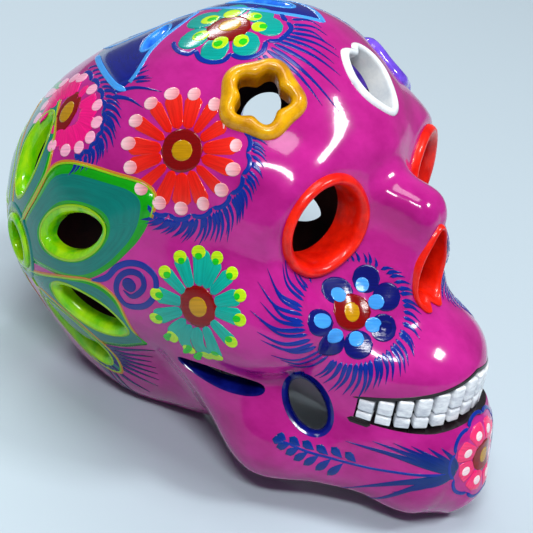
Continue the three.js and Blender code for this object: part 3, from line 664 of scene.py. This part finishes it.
def clear_part(line):
    """The longest part of a line that crosses no opening and no rim."""
    clear = np.ones(len(line), bool)
    for seat, outline in hole_outlines:
        middle, first, second, out = seat
        x, y, height = (line - middle) @ first, (line - middle) @ second, (line - middle) @ out
        angle = np.arctan2(outline[:, 1], outline[:, 0])
        order = np.argsort(angle)
        radius = np.linalg.norm(outline, axis=1)
        radius = np.interp(np.arctan2(y, x), angle[order], radius[order], period=2 * math.pi)
        clear &= (np.hypot(x, y) > radius) | (abs(height) > SAME_SIDE)
    ends = np.flatnonzero(np.diff(np.concatenate([[0], clear, [0]])))
    first, last = max(zip(ends[::2], ends[1::2]), key=lambda part: part[1] - part[0], default=(0, 0))
    return line[first:last]


def brushed(piece, colours, marks):
    """Gives each point of a painted piece its colour and its place along the bristles' marks."""
    mesh = piece.data
    mesh.attributes.new("paint", "FLOAT_COLOR", "POINT").data.foreach_set("color", colours.ravel())
    corner = np.empty(len(mesh.loops), int)
    mesh.loops.foreach_get("vertex_index", corner)
    mesh.uv_layers.new(name="bristles").data.foreach_set("uv", marks[corner].ravel())
    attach(piece, "root")


def painted(name, strokes, side=-1):
    """One piece made of strokes, as given for the skull's own right, side -1, or mirrored."""
    strokes = [(kind, clear_part(line * (-side, 1, 1)), *looks) for kind, line, *looks in strokes]
    kinds, lines, halves, colours, end_colours, layers = zip(*[each for each in strokes if len(each[1]) > 2])
    run = [np.linspace(0, 1, len(line)) for line in lines]
    half = [np.maximum(WIDTHS[kind](share) * full, LEAST) for kind, share, full in zip(kinds, run, halves)]
    half = np.concatenate(half)
    centre = np.concatenate(lines)
    along = np.concatenate([np.gradient(line, axis=0) for line in lines])
    along /= np.linalg.norm(along, axis=1)[:, None] + 1e-12
    out = outward(centre)
    sideways = np.cross(out, along)
    sideways /= np.linalg.norm(sideways, axis=1)[:, None] + 1e-12
    spread = centre[:, None] + sideways[:, None] * (half[:, None] * ACROSS)[:, :, None]
    spread = settled(spread.reshape(-1, 3), 2).reshape(spread.shape)
    lift = np.concatenate([np.full(len(line), LEAST + layer * LAYER) for line, layer in zip(lines, layers)])
    rise = lift[:, None] + np.minimum(SKIN, half * 0.3)[:, None] * (1 - ACROSS ** 4)
    top = spread + out[:, None] * rise[:, :, None]
    under = spread[:, [0, -1]] - out[:, None] * BODY_UNDER
    faces, begin, marks = [], 0, []
    for number, line in enumerate(lines):
        count = len(line)
        length = np.append(0, np.cumsum(np.linalg.norm(np.diff(line, axis=0), axis=1)))
        marks.append(np.stack([length * MARKS_ALONG + number * 3.7, np.full(count, number * 1.3)], 1))
        starts = range(begin * STATION, (begin + count) * STATION, STATION)
        for here, there in zip(starts, starts[1:]):
            edges = zip(ROUND_STATION, ROUND_STATION[1:] + ROUND_STATION[:1])
            faces += [(here + a, there + a, there + b, here + b) for a, b in edges]
        faces += [[starts[0] + a for a in ROUND_STATION], [starts[-1] + a for a in ROUND_STATION[::-1]]]
        begin += count
    mesh = bpy.data.meshes.new(name)
    mesh.from_pydata(np.concatenate([top, under], 1).reshape(-1, 3).tolist(), [], faces)
    mesh.polygons.foreach_set("use_smooth", np.ones(len(mesh.polygons), bool))
    mesh.materials.append(hand_paint)
    piece = bpy.data.objects.new(name, mesh)
    bpy.context.collection.objects.link(piece)
    colours = [np.array(start) + (np.array(end) - start) * share[:, None]
               for start, end, share in zip(colours, end_colours, run)]
    marks = np.repeat(np.concatenate(marks), STATION, 0)
    marks[:, 1] += (half[:, None] * np.append(ACROSS, (-1, 1)) * MARKS_ACROSS).ravel()
    brushed(piece, np.repeat(np.concatenate(colours), STATION, 0), marks)


# Flowers on the right and left side
# Daisies cover both sides: a red one on the forehead's side and a pink one behind it, a teal
# one on the temple and a blue one on the cheekbone. A teal one lies in front of the crown, a
# pale one on its left. Each has a dark red eye, and most a scalloped outline and lashes.
DARK_RED, MUSTARD, RED = srgb(130, 0, 2), srgb(192, 140, 0), srgb(232, 18, 4)
PINK, PALE_PINK, TEAL = srgb(242, 10, 128), srgb(255, 176, 206), srgb(0, 160, 150)
LIME, NAVY, BLUE, LIGHT_BLUE = srgb(190, 232, 20), srgb(8, 22, 130), srgb(6, 44, 150), srgb(66, 160, 244)
wavering = np.random.default_rng(7)


def petals(seat, count, start, near, far, half, colour, end_colour, squash=(1, 1)):
    """Petals round the middle of a flower, a little uneven, as a quick brush leaves them."""
    made = []
    for angle in start + np.arange(count) * 360 / count + wavering.normal(0, 1.5, count):
        reach = far * (1 + wavering.normal(0, 0.03))
        line = laid(seat, turning([near, (near + reach) / 2, reach], [angle] * 3, squash))
        lean = math.radians(angle)
        width = half * np.linalg.norm(seat[1] * math.sin(lean) ** 2 + seat[2] * math.cos(lean) ** 2)
        made.append(stroke("petal", line, width, colour, end_colour, 2))
    return made


def dots(seat, spots, radius, colour, layer=4, edge_colour=None):
    return [disc(seat, (radius * (1 + wavering.normal(0, 0.08)), radius), colour, layer, spot, edge_colour)
            for spot in spots]


def eye_of(seat, outer, inner, core=(0, 0)):
    return [disc(seat, outer, DARK_RED, 3), disc(seat, inner, MUSTARD, 5, core)]


def scallops(seat, count, start, end, radius, bulge, half, squash=(1, 1), colour=BLUE):
    """An outline of bows from one angle to another round a flower."""
    made = []
    step = (end - start) / count
    for angle in start + step * np.arange(count):
        bow = np.linspace(angle, angle + step, 7)
        rise = radius + bulge * np.sin(np.linspace(0, math.pi, 7)) ** 0.7
        made.append(stroke("line", laid(seat, turning(rise, bow, squash)), half, colour, layer=3))
    return made


def lashes(seat, count, start, end, radius, length, curl, half, squash=(1, 1)):
    """A fringe of tapering strokes; length is given from the first lash to the last."""
    made = []
    for share in np.linspace(0, 1, count):
        angle = start + (end - start) * share + wavering.normal(0, 0.8)
        reach = np.interp(share, np.linspace(0, 1, len(length)), length) * (1 + wavering.normal(0, 0.08))
        radii = [radius, radius + reach * 0.55, radius + reach]
        line = laid(seat, turning(radii, [angle, angle + curl * 0.4, angle + curl], squash))
        made.append(stroke("lash", line, half * (1 + wavering.normal(0, 0.1)), BLUE, NAVY, 2))
    return made


def flick(root, tip, bend, half, colour, end_colour=NAVY):
    """One tapering stroke between two pixels, its middle bent aside by a few more."""
    middle = np.add(root, tip) / 2 + bend
    return stroke("lash", under_pixels([root, middle, tip]), half, colour, end_colour, 2)


# the pixels of the flowers' middles and of strokes drawn one by one, and petals about a middle
RED_AT, PINK_AT, TEAL_AT, BLUE_AT, TOP_AT = (182, 150.7), (67, 112), (198, 307), (352, 312), (229, 28)
LONG_LASHES = [
    [(111, 93), (134, 88), (162, 92)], [(111, 97), (128, 99), (143, 108)], [(112, 88), (132, 80), (152, 78)]]
BLUE_PETALS = [(14, 33), (34, 15), (31, -16), (6, -33), (-20, -31), (-32, -11), (-15, 21)]
BLUE_TIPS = [(10, 27), (24, 10), (21, -13), (4, -27), (-17, -24), (-30, -9), (-14, 17)]
TOP_PETALS = [(40, 2), (17, -16), (-14, -21), (-34, -10), (-24, 8), (4, 17), (31, 13)]
TOP_TIPS = [(30, 1), (12, -13), (-9, -15), (-28, -8), (-19, 8), (3, 14), (25, 11)]
TOP_SPOTS = [(34, 1), (14, -14), (-11, -16), (-30, -8), (-17, 8), (28, 11)]
TOP_BOWS = [
    [(173, 42), (175, 48), (182, 53), (190, 54), (196, 49)],
    [(195, 50), (200, 59), (212, 62.5), (225, 60), (231, 53)],
    [(230, 54), (240, 58), (253, 57), (262, 52), (266, 41)],
    [(266, 41), (277, 41), (286, 35), (291, 28), (287, 22)], [(287, 22), (283, 18), (281, 13)]]
TOP_LASH_ROOTS = [
    (291, 20), (292, 25), (292, 29), (290, 33), (285, 36), (280, 38), (276, 41), (273, 44), (270, 47),
    (266, 50), (262, 55), (257, 58)]
TOP_LASH_TIPS = [
    (321, 28), (327, 36), (325, 42), (336, 50), (339, 58), (334, 64), (340, 76), (340, 92), (339, 112),
    (322, 106), (304, 100), (288, 88)]

seat = pixel_seat(*RED_AT)
upright = (1, 1.07)
red_daisy = petals(seat, 15, 5, 20, 57, 11, RED, srgb(238, 44, 30), upright)
tips = turning(54, 5 + np.arange(15) * 24, upright)
red_daisy += dots(seat, tips, 7, srgb(255, 214, 220), 4, srgb(236, 132, 142))
red_daisy += eye_of(seat, (21, 22), (10.5, 10.5))
red_daisy += scallops(seat, 7, 18, -122, 64, 5, 0.0007)
red_daisy += lashes(seat, 12, 16, -28, 69, (14, 16), -8, 0.0007)
red_daisy += lashes(seat, 26, -32, -110, 69, (18, 30, 20, 12), -10, 0.0008)

seat = pixel_seat(*PINK_AT)
oval = (0.8, 1)
pink_daisy = petals(seat, 16, 0, 15, 38, 8.6, PINK, PINK, oval)
pink_daisy += dots(seat, turning(38.5, np.arange(14) * 25.7 + 10, oval), 4.6, PALE_PINK)
pink_daisy += eye_of(seat, (9.5, 17), (5.5, 8.5))
pink_daisy += scallops(seat, 9, 62, -78, 43, 5, 0.0008, oval)
pink_daisy += lashes(seat, 9, 58, 14, 50, (12, 18), -12, 0.0008, oval)
pink_daisy += lashes(seat, 14, 8, -74, 48, (20, 17, 14), -14, 0.0009, oval)
pink_daisy += [stroke("lash", under_pixels(line), 0.0009, BLUE, NAVY, 2) for line in LONG_LASHES]

seat = pixel_seat(*TEAL_AT)
tall = (0.78, 1)
around = 12 + np.arange(14) * 360 / 14
teal_daisy = petals(seat, 14, 12, 20, 57, 10, TEAL, srgb(10, 176, 150), tall)
teal_daisy += dots(seat, turning(55, around, tall), 6.4, LIME)
teal_daisy += dots(seat, turning(51, around, tall), 3.6, srgb(20, 196, 30), 5)
teal_daisy += eye_of(seat, (18, 21), (9, 10))

seat = pixel_seat(*BLUE_AT)
blue_daisy = dots(seat, BLUE_PETALS, 14.5, srgb(8, 16, 108), 2) + dots(seat, BLUE_TIPS, 7.6, LIGHT_BLUE, 6)
blue_daisy += eye_of(seat, (19, 19), (8, 10))
blue_daisy += lashes(seat, 12, 132, 62, 50, (13, 11, 10), 6, 0.0007)
blue_daisy += lashes(seat, 12, 56, -20, 51, (10, 18, 22), -10, 0.0008)
blue_daisy += lashes(seat, 17, -26, -112, 51, (26, 34, 32), -12, 0.0009)
blue_daisy += lashes(seat, 20, -118, -226, 50, (36, 50, 42, 18), -22, 0.0008)

seat = pixel_seat(*TOP_AT)
top_daisy = [disc(seat, (14, 9), TEAL, 2, spot) for spot in TOP_PETALS]
top_daisy += [disc(seat, (8, 4.6), LIME, 4, spot) for spot in TOP_TIPS]
top_daisy += [disc(seat, (4.5, 2.6), srgb(40, 200, 20), 5, spot) for spot in TOP_SPOTS]
top_daisy += eye_of(seat, (22, 12), (11, 5.6), (1, 2.5))
top_daisy += [stroke("line", under_pixels(bow), 0.0008, BLUE, layer=3) for bow in TOP_BOWS]
top_daisy += [flick(root, tip, (4, -3), 0.0009, BLUE) for root, tip in zip(TOP_LASH_ROOTS, TOP_LASH_TIPS)]

painted("pink_daisy_right", pink_daisy)
for side, hand in SIDES:
    painted(f"red_daisy_{hand}", red_daisy, side)
    painted(f"teal_daisy_{hand}", teal_daisy, side)
    painted(f"blue_daisy_{hand}", blue_daisy, side)
painted("teal_daisy_crown", top_daisy)

seat = seat_on((0.029, 0.0085, 0.124))
pale_daisy = petals(seat, 10, 0, 0.0055, 0.0115, 0.0022, PALE_PINK, srgb(255, 205, 222))
pale_daisy += dots(seat, turning(0.0125, np.arange(10) * 36), 0.0015, srgb(240, 240, 250))
pale_daisy += eye_of(seat, (0.005, 0.005), (0.0024, 0.0024))
pale_daisy += scallops(seat, 10, 0, 360, 0.0145, 0.0012, 0.0005, colour=srgb(90, 120, 170))
painted("pale_daisy_left", pale_daisy)
seat = seat_on((-0.052, 0.018, 0.076))
left_daisy = petals(seat, 16, 0, 0.0045, 0.0112, 0.0026, PINK, PINK)
left_daisy += dots(seat, turning(0.0116, np.arange(14) * 25.7), 0.0014, PALE_PINK)
left_daisy += eye_of(seat, (0.0045, 0.0045), (0.002, 0.002))
left_daisy += scallops(seat, 10, 0, 360, 0.0136, 0.0014, 0.0006)
painted("pink_daisy_left", left_daisy, 1)


# The painted lips
# Black paint lines the mouth: a thin line over the upper row of teeth, from corner to corner,
# and a short broader one that turns under the lower row at each corner.
INK = srgb(30, 22, 26)
lip_angles = np.linspace(-HALF_MOUTH - 0.05, HALF_MOUTH + 0.05, 61)
front = np.array([arch_point(angle, -0.02) - arch_point(angle, 0) for angle in lip_angles])
front = front / np.linalg.norm(front, axis=1)[:, None] * (1, 1, 0)
lips = []
for sign, full, spare in ((-1, LOWER_TOOTH, 0.0010), (1, UPPER_TOOTH, 0.0001)):
    edge = [arch_point(angle, 0, sign * (tooth_height(full, angle) + GUM + spare * math.cos(angle)))
            for angle in lip_angles]
    lips.append(first_meeting(np.array(edge) + front * 0.01, -front))
under, over = lips
ends = [stroke("line", end, 0.0009, INK, layer=2) for end in (under[:6], under[-6:])]
painted("mouth_line", ends + [stroke("line", over, 0.0006, INK, layer=2)])


# The chin
# A pink flower sits on the point of the chin, with a fan of long navy strokes behind it on
# each side and a sprig of small leaves along the edge of the jaw.
FAN_ROOT = (456, 472)
FAN_TIPS = [
    (345, 441), (372, 441), (393, 443), (411, 446), (428, 448), (441, 448), (340, 487), (366, 496),
    (392, 492), (412, 488)]
JAW_LINE = [(446, 474), (400, 473), (370, 468), (341, 461), (308, 452), (281, 440)]
SPRIG_TIPS = [
    (277, 434), (289, 437), (302, 441), (316, 445), (331, 447), (345, 452), (272, 439), (276, 447),
    (285, 454), (293, 460), (303, 465), (315, 470), (327, 475)]
SPRIG_ROOTS = [
    (286, 440), (300, 446), (314, 450), (328, 455), (342, 458), (356, 462), (283, 441), (290, 444),
    (299, 448), (308, 452), (319, 455), (331, 459), (343, 463)]
seat = seat_on((0, -0.0915, 0.027))
chin_flower = petals(seat, 8, 22, 0.0045, 0.0120, 0.0048, srgb(240, 10, 110), srgb(255, 60, 120))
chin_flower += dots(seat, turning(0.0082, 22 + np.arange(8) * 45), 0.0015, srgb(255, 226, 232))
chin_flower += eye_of(seat, (0.0052, 0.0052), (0.0021, 0.0026))
chin_flower += scallops(seat, 9, 0, 360, 0.0128, 0.0013, 0.0006)
painted("chin_flower", chin_flower)
fan = [flick(FAN_ROOT, tip, (6, 3), 0.0014, srgb(0, 50, 110)) for tip in FAN_TIPS]
fan += [stroke("line", under_pixels(JAW_LINE), 0.0004, BLUE, layer=3)]
fan += [stroke("drop", under_pixels(leaf), 0.0014, srgb(0, 50, 120), BLUE, 3)
        for leaf in zip(SPRIG_TIPS, SPRIG_ROOTS)]
for side, hand in SIDES:
    painted(f"chin_fan_{hand}", fan, side)


# The spiral and the fan behind the ear
# Between the leaves and the teal daisy there is a navy spiral, and below the wreath a fan
# of deep violet strokes runs forward over the edge of the skull.
SPIRAL = [
    (90, 281), (107, 277), (117, 267), (130, 263), (145, 267), (155, 278), (156, 290), (150, 302), (137, 307),
    (125, 304), (117, 293), (117, 282), (123, 274), (133, 272), (142, 277), (144, 285), (138, 294),
    (130, 296), (123, 290)]
SPIRAL_HEART, EAR_ROOT = (129, 285), (90, 341)
EAR_TIPS = [
    (155, 351), (153, 357), (152, 362), (156, 368), (158, 374), (159, 380), (158, 386), (150, 392),
    (146, 398), (136, 396), (126, 388), (115, 378), (106, 367)]
spiral = [stroke("line", under_pixels(SPIRAL), 0.0010, BLUE, NAVY, 3)]
spiral += [disc(pixel_seat(*SPIRAL_HEART), (6.6, 6.6), NAVY, 4)]
ear_fan = [flick(EAR_ROOT, tip, (-4, 3), 0.0012, srgb(30, 10, 110), srgb(20, 4, 80)) for tip in EAR_TIPS]
for side, hand in SIDES:
    painted(f"spiral_{hand}", spiral, side)
    painted(f"ear_fan_{hand}", ear_fan, side)


# The leaf wreaths and the crown flower
# Round the hole on each side of the back, broad teal petals are painted about the cut
# leaves, edged in green, lime and a trace of orange. The crown has a navy flower edged in
# light blue about its cut petals.
def patch(name, seat, inner, outer, bands, lift, side=-1):
    """A field of paint round a cut, from its edge to an outline, in bands of share and colour."""
    seat = mirrored(seat, side)
    under, up = seat[3] * -BODY_UNDER, seat[3] * lift
    rings = [laid(seat, inner + (outer - inner) * share) for share, _ in bands]
    body = [rings[0] + under] + [ring + up for ring in rings] + [rings[-1] + under]
    colours = [colour for _, colour in bands]
    colours = np.array([colours[0]] + colours + [colours[-1]])
    count = len(inner)
    marks = [np.tile(np.arange(count) * 0.12, len(body)), np.repeat(np.arange(len(body)) * 2.0, count)]
    brushed(loft(name, body, hand_paint, closed=True), np.repeat(colours, count, 0), np.stack(marks, 1))


def edge_line(seat, outline, half, colour, layer):
    return stroke("band", laid(seat, np.concatenate([outline, outline[:2]])), half, colour, layer=layer)


def outline_under(seat, pixels, like):
    """The outline that pixels of the photograph give round a seat, point for point like another."""
    middle, first, second, _ = seat
    away = under_pixels(pixels) - middle
    x, y = away @ first, away @ second
    order = np.argsort(np.arctan2(y, x))
    angle = np.arctan2(like[:, 1], like[:, 0])
    x, y = (np.interp(angle, np.arctan2(y, x)[order], v[order], period=2 * math.pi) for v in (x, y))
    outline = np.stack([x, y], 1)
    for _ in range(2):
        outline = (np.roll(outline, 1, 0) + 2 * outline + np.roll(outline, -1, 0)) / 4
    return outline


GREEN, DEEP_TEAL, OLIVE = srgb(10, 158, 8), srgb(0, 122, 112), srgb(150, 200, 10)
ORANGE, PALE_VIOLET = srgb(206, 128, 40), srgb(120, 84, 225)
LEAF_BANDS = [(0, GREEN), (0.12, GREEN), *((share, DEEP_TEAL) for share in (0.13, 0.4, 0.6, 0.75)),
              (0.76, GREEN), (1, GREEN)]
RING_BANDS = [(0, OLIVE), (0.5, GREEN), (0.55, DEEP_TEAL), (1, DEEP_TEAL)]
CROWN_BANDS = [(0, BLUE), *((share, NAVY) for share in (0.1, 0.3, 0.5, 0.75)), (1, BLUE)]
FIELD_LIFT, FIELD_STEP, FIELD_OVERLAP = 0.00006, 0.00001, 0.0001
# outlines of the petals that show in the photograph, by their pixels
LEAF_PIXELS = {
    1: [
        (27, 268), (60, 277), (88, 280), (103, 286), (117, 300), (127, 322), (133, 332), (150, 345),
        (127, 347), (100, 343), (83, 336), (63, 318), (42, 293)],
    3: [
        (65, 80), (60, 100), (55, 130), (53, 145), (50, 162), (45, 178), (33, 200), (21, 222), (12, 215),
        (7, 190), (8, 160), (14, 130), (25, 108), (40, 92), (55, 82)],
    2: [
        (52, 164), (70, 162), (90, 167), (117, 176), (142, 182), (157, 194), (150, 223), (137, 243),
        (117, 263), (100, 275), (83, 281), (63, 277), (42, 267), (27, 258), (21, 223), (32, 203), (43, 183)],
}
CROWN_PIXELS = [
    (125, 90), (135, 88), (138, 72), (147, 55), (163, 38), (183, 23), (199, 12), (180, 10), (150, 18),
    (120, 33), (95, 55), (97, 62), (107, 77), (117, 88)]
CROWN_FOOT = [(97, 56), (101, 67), (109, 79), (117, 87), (126, 91)]
CROWN_LASHES = [
    [(137, 72), (148, 65)], [(136, 75), (149, 70)], [(136, 78), (149, 76)], [(135, 82), (151, 81)],
    [(136, 68), (146, 61)]]

hole = grown(leaf_outline(*LEAF), LEAF_EDGE - FIELD_OVERLAP)
plain_petal = leaf_outline(0.050, 0.0265, 0.15, 0.35) + (0.004, 0)
small_petal = leaf_outline(0.038, 0.020, 0.15, 0.35)
petal_outlines = {"right": [small_petal] + [plain_petal] * 6, "left": [plain_petal] * 7}
for number, pixels in LEAF_PIXELS.items():
    petal_outlines["right"][number] = outline_under(leaf_seats["right"][number], pixels, hole)
for side, hand in SIDES:
    edges = []
    for number, (seat, petal) in enumerate(zip(leaf_seats[hand], petal_outlines[hand])):
        lift = FIELD_LIFT + number * FIELD_STEP
        patch(f"leaf_petal_{number + 1}_{hand}", seat, hole, petal, LEAF_BANDS, lift, side)
        edges += [edge_line(seat, hole, 0.0004, OLIVE if side < 0 else PALE_VIOLET, 5)]
        edges += [edge_line(seat, petal, 0.0003, OLIVE, 4)]
        edges += [edge_line(seat, grown(petal, 0.0006), 0.0004, ORANGE, 3)]
    ring = oval_outline(*RING, 0.003)
    patch(f"ring_field_{hand}", ring_seats[hand], ring, ring * 1.35, RING_BANDS, 0.00018, side)
    painted(f"leaf_edges_{hand}", edges, side)
crown_edges = []
for number, (seat, shape, edge, _) in enumerate(crown_openings):
    hole = grown(leaf_outline(*shape), edge - FIELD_OVERLAP)
    petal = leaf_outline(0.044, 0.020, 0.5, 0.8) if shape == CREST else leaf_outline(0.036, 0.024, 0.7, 0.1)
    if number == 1:
        petal = outline_under(seat, CROWN_PIXELS, hole)
    patch(f"crown_petal_{number + 1}", seat, hole, petal, CROWN_BANDS, FIELD_LIFT + number * FIELD_STEP)
    crown_edges += [edge_line(seat, petal, 0.0009, LIGHT_BLUE, 4)]
    crown_edges += [edge_line(seat, hole, 0.0005, LIGHT_BLUE, 5)]
crown_edges += [stroke("line", under_pixels(CROWN_FOOT), 0.0010, LIGHT_BLUE, layer=5)]
crown_edges += [stroke("lash", under_pixels(lash), 0.0006, BLUE, NAVY, 2) for lash in CROWN_LASHES]
painted("crown_edges", crown_edges)


# The table, the light and the camera
# The skull stands on a plain pale table in front of a pale wall, under large soft lamps.
# The camera looks down on its right cheek from where the photograph was taken.
IMAGE_SIDE = 533
bpy.ops.object.camera_add()
camera = bpy.context.object
camera_axes = Matrix(np.column_stack([LOOK_RIGHT, LOOK_UP, LOOK_BACK]).tolist()).to_4x4()
camera.matrix_world = Matrix.Translation(LOOK_AT + LOOK_BACK * LOOK_DISTANCE) @ camera_axes
camera.data.lens = 104.24
camera.data.sensor_width = 36
camera.data.shift_x = (IMAGE_SIDE / 2 - LOOK_PIXEL[0]) / IMAGE_SIDE
camera.data.shift_y = -(IMAGE_SIDE / 2 - LOOK_PIXEL[1]) / IMAGE_SIDE
camera.data.clip_start = 0.01
bpy.context.scene.camera = camera

table = bpy.data.materials.new("pale_table")
table.use_nodes = True
table.node_tree.nodes["Principled BSDF"].inputs["Base Color"].default_value = srgb(178, 194, 204)
table.node_tree.nodes["Principled BSDF"].inputs["Roughness"].default_value = 0.7
bpy.ops.mesh.primitive_circle_add(vertices=96, radius=1.3, fill_type="NGON")
floor = bpy.context.object
floor.name = "table"
floor.data.materials.append(table)


def soft_lamp(name, place, size, power, aim=(0, 0, 0.06)):
    """A flat lamp that faces the middle of the skull."""
    bpy.ops.object.light_add(type="AREA", location=place)
    lamp = bpy.context.object
    lamp.name = name
    lamp.data.shape = "RECTANGLE"
    lamp.data.size, lamp.data.size_y = size
    lamp.data.energy = power
    direction = np.subtract(place, aim) / np.linalg.norm(np.subtract(place, aim))
    side_axis = np.cross((0, 0, 1), direction)
    side_axis /= np.linalg.norm(side_axis)
    axes = np.column_stack([side_axis, np.cross(direction, side_axis), direction])
    lamp.matrix_world = Matrix.Translation(place) @ Matrix(axes.tolist()).to_4x4()


soft_lamp("window", (-0.75, -0.40, 1.1), (0.5, 0.16), 11)
soft_lamp("front_window", (0.38, -0.86, 1.15), (0.30, 0.20), 9)
soft_lamp("top_light", (-0.1, 0.0, 1.4), (0.6, 0.6), 8)
soft_lamp("back_window", (0.55, 1.15, 0.9), (0.8, 0.12), 7)
world = bpy.data.worlds.new("pale_room")
bpy.context.scene.world = world
world.use_nodes = True
nodes = world.node_tree.nodes
room = nodes["Background"]
room.inputs["Color"].default_value = srgb(225, 232, 240)
room.inputs["Strength"].default_value = 0.2
wall = nodes.new("ShaderNodeBackground")
wall.inputs["Color"].default_value = srgb(212, 225, 233)
wall.inputs["Strength"].default_value = 1
seen = nodes.new("ShaderNodeLightPath")
either = nodes.new("ShaderNodeMixShader")
wire(seen, "Is Camera Ray", either, "Fac")
wire(room, "Background", either, 1)
wire(wall, "Background", either, 2)
wire(either, "Shader", nodes["World Output"], "Surface")
bpy.context.scene.view_settings.view_transform = "Standard"
